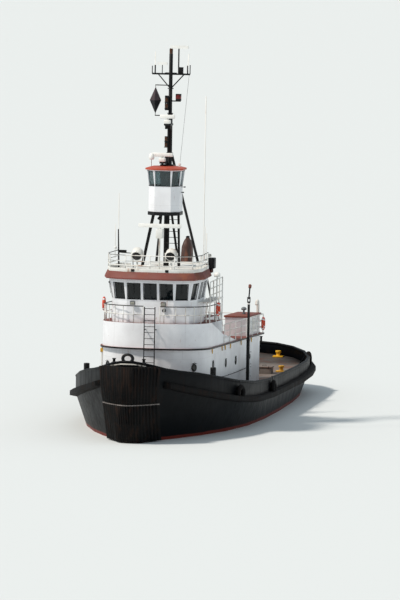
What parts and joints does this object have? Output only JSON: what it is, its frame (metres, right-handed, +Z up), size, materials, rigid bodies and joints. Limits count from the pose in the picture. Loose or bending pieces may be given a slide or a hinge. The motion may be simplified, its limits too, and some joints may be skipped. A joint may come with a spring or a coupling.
{
  "type": "harbour tugboat",
  "caption": "Harbour tug with a black hull, a ribbed bow fender, a white house and wheelhouse, and an upper conning house on a lattice tower with mast, radars and towing gear.",
  "frame": {"origin": "on the waterline amidships, on the centreline", "axes": "+Z up, bow toward -Y, +X to port"},
  "size_m": [9.96, 33.7, 23.23],
  "materials": {
    "black_paint": "weathered black paint",
    "white_paint": "weathered white gloss paint",
    "deck_red": "matt red oxide deck paint",
    "roof_orange": "orange-red paint",
    "bottom_red": "matt dark red bottom paint",
    "rubber": "weathered black rubber",
    "glass": "tinted window glass",
    "white_plastic": "white radome plastic",
    "orange_plastic": "life ring shell",
    "brown_paint": "heat-stained brown paint",
    "grey_paint": "grey machinery paint",
    "yellow_paint": "yellow paint",
    "bronze": "cast bronze"
  },
  "bodies": {
    "boat": {"hull": "black_paint", "bulwark": "black_paint", "rub_rail": "rubber", "bow_fender_upper": "rubber", "bow_fender_lower": "rubber", "deckhouse": "white_paint", "boat_deck": "deck_red", "raised_deck": "white_paint", "raised_deck_rail_port": "white_paint", "raised_deck_rail_starboard": "white_paint", "boat_deck_rail": "white_paint", "front_ladder": "black_paint", "wheelhouse": "white_paint", "wheelhouse_glazing": "glass", "wheelhouse_roof": "deck_red", "roof_coaming": "white_paint", "roof_rail": "white_paint", "radar_pedestal": "white_paint", "tower_frame": "black_paint", "conning_house": "white_paint", "conning_glazing": "glass", "conning_roof": "roof_orange", "mast": "black_paint", "day_shape": "black_paint", "radar_gearbox_middle": "white_paint", "radar_gearbox_high": "white_paint", "exhaust_stack": "brown_paint", "walkway_port": "white_paint", "satellite_dome": "white_plastic", "stairs_port": "white_paint", "stairs_starboard": "white_paint", "fan_house_port": "white_paint", "fan_house_starboard": "white_paint", "crane_post": "black_paint", "winch_frame": "black_paint", "towing_bitts": "black_paint", "bollard_quarter_port": "yellow_paint", "bollard_quarter_starboard": "yellow_paint", "bollard_after_port": "yellow_paint", "bollard_after_starboard": "yellow_paint", "bollard_bow": "black_paint", "life_ring_port": "orange_plastic", "life_ring_starboard": "orange_plastic"},
    "deckhouse_door_port": {"deckhouse_door_port": "white_paint"},
    "deckhouse_door_starboard": {"deckhouse_door_starboard": "white_paint"},
    "deckhouse_door_aft": {"deckhouse_door_aft": "white_paint"},
    "wheelhouse_door_port": {"wheelhouse_door_port": "white_paint"},
    "wheelhouse_door_starboard": {"wheelhouse_door_starboard": "white_paint"},
    "conning_door": {"conning_door": "white_paint"},
    "searchlight_port": {"searchlight_port": "white_paint"},
    "searchlight_starboard": {"searchlight_starboard": "white_paint"},
    "radar_scanner_low": {"radar_scanner_low": "white_plastic"},
    "radar_scanner_middle": {"radar_scanner_middle": "white_plastic"},
    "radar_scanner_high": {"radar_scanner_high": "white_plastic"},
    "crane_boom": {"crane_boom": "black_paint"},
    "winch_drum": {"winch_drum": "grey_paint"},
    "propeller_port": {"propeller_port": "bronze"},
    "propeller_starboard": {"propeller_starboard": "bronze"},
    "rudder_port": {"rudder_port": "bottom_red"},
    "rudder_starboard": {"rudder_starboard": "bottom_red"}
  },
  "joints": [
    {"name": "deckhouse_door_port_swing", "type": "hinge", "parent": "boat", "child": "deckhouse_door_port", "pos_m": [2.75, 2.65, 2.3], "axis": [0, 0, -1], "range_deg": [0, 100]},
    {"name": "deckhouse_door_starboard_swing", "type": "hinge", "parent": "boat", "child": "deckhouse_door_starboard", "pos_m": [-2.75, 2.65, 2.3], "axis": [0, 0, 1], "range_deg": [0, 100]},
    {"name": "deckhouse_door_aft_swing", "type": "hinge", "parent": "boat", "child": "deckhouse_door_aft", "pos_m": [0.55, 6, 2.3], "axis": [0, 0, 1], "range_deg": [0, 110]},
    {"name": "wheelhouse_door_port_swing", "type": "hinge", "parent": "boat", "child": "wheelhouse_door_port", "pos_m": [1.565, -7.6, 6.66], "axis": [0, 0, 1], "range_deg": [0, 90]},
    {"name": "wheelhouse_door_starboard_swing", "type": "hinge", "parent": "boat", "child": "wheelhouse_door_starboard", "pos_m": [-1.565, -7.6, 6.66], "axis": [0, 0, -1], "range_deg": [0, 90]},
    {"name": "conning_door_swing", "type": "hinge", "parent": "boat", "child": "conning_door", "pos_m": [-0.31, -6.32, 11.71], "axis": [0, 0, 1], "range_deg": [0, 90]},
    {"name": "searchlight_port_pan", "type": "hinge", "parent": "boat", "child": "searchlight_port", "pos_m": [0.88, -9.9, 9.065], "axis": [0, 0, 1], "range_deg": [-160, 160]},
    {"name": "searchlight_starboard_pan", "type": "hinge", "parent": "boat", "child": "searchlight_starboard", "pos_m": [-0.88, -9.9, 9.065], "axis": [0, 0, 1], "range_deg": [-160, 160]},
    {"name": "radar_low_turn", "type": "hinge", "parent": "boat", "child": "radar_scanner_low", "pos_m": [0.2, -9.6, 10.4], "axis": [0, 0, 1], "continuous": true},
    {"name": "radar_middle_turn", "type": "hinge", "parent": "boat", "child": "radar_scanner_middle", "pos_m": [-0.22, -7.05, 13.87], "axis": [0, 0, 1], "continuous": true},
    {"name": "radar_high_turn", "type": "hinge", "parent": "boat", "child": "radar_scanner_high", "pos_m": [-0.01, -6.92, 15.82], "axis": [0, 0, 1], "continuous": true},
    {"name": "crane_boom_luff", "type": "hinge", "parent": "boat", "child": "crane_boom", "pos_m": [3.18, 0, 6.12], "axis": [1, 0, 0], "range_deg": [-10, 80]},
    {"name": "winch_drum_turn", "type": "hinge", "parent": "boat", "child": "winch_drum", "pos_m": [0, 7.8, 2.05], "axis": [1, 0, 0], "continuous": true},
    {"name": "propeller_port_turn", "type": "hinge", "parent": "boat", "child": "propeller_port", "pos_m": [1.85, 12.8, -2.4], "axis": [0, 1, 0], "continuous": true},
    {"name": "propeller_starboard_turn", "type": "hinge", "parent": "boat", "child": "propeller_starboard", "pos_m": [-1.85, 12.8, -2.4], "axis": [0, 1, 0], "continuous": true},
    {"name": "rudder_port_turn", "type": "hinge", "parent": "boat", "child": "rudder_port", "pos_m": [1.85, 14.2, -2.2], "axis": [0, 0, 1], "range_deg": [-35, 35]},
    {"name": "rudder_starboard_turn", "type": "hinge", "parent": "boat", "child": "rudder_starboard", "pos_m": [-1.85, 14.2, -2.2], "axis": [0, 0, 1], "range_deg": [-35, 35]}
  ]
}
